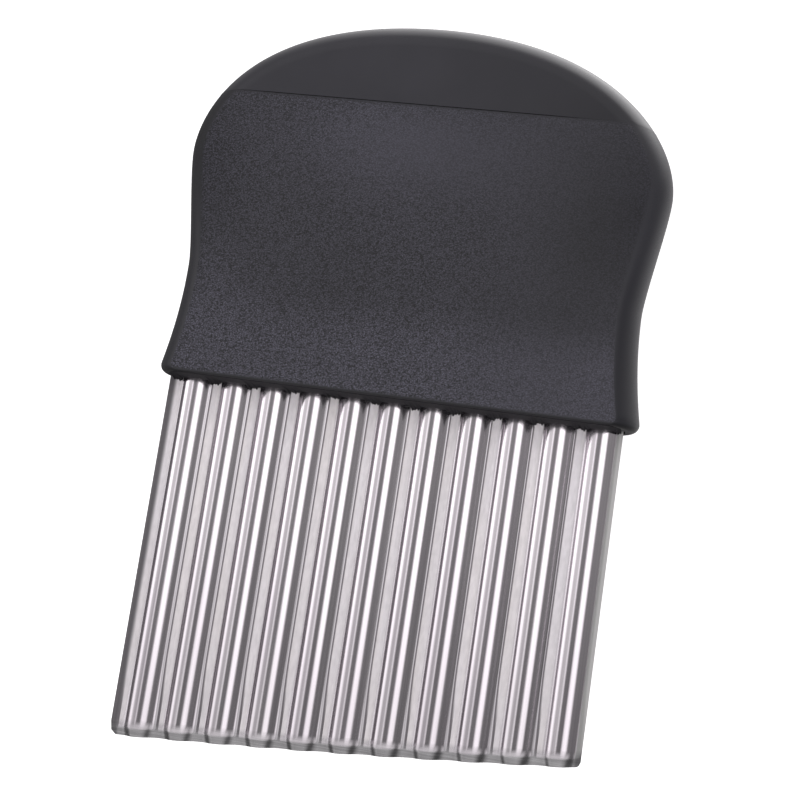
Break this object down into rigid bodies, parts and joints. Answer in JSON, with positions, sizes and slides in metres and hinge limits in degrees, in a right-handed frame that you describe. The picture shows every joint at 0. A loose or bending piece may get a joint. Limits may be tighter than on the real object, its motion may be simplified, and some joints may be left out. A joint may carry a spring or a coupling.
{
  "type": "crinkle cutter",
  "caption": "Palm-held crinkle cutter: a corrugated stainless blade with a front-ground, slightly slanted edge in a waisted black handle with a domed smooth cap.",
  "frame": {"origin": "centre of the outline seen from above, on the plane of the handle's rear face", "axes": "+X along the cutting edge to the right, +Y from the blade to the palm, +Z out of the front face; the cutter lies on its back"},
  "size_m": [0.0958, 0.1456, 0.016],
  "materials": {
    "blade_steel": "polished along the wave crests, duller in the troughs",
    "grained_black": "fine moulded grain",
    "smooth_black": "smooth satin",
    "jaw_black": "as moulded",
    "pin_steel": "ground"
  },
  "bodies": {
    "root": {"blade": "blade_steel", "handle_body": "grained_black", "palm_cap": "smooth_black", "tang_jaw_front": "jaw_black", "tang_jaw_rear": "jaw_black", "tang_pin_left": "pin_steel", "tang_pin_middle": "pin_steel", "tang_pin_right": "pin_steel"}
  },
  "joints": []
}
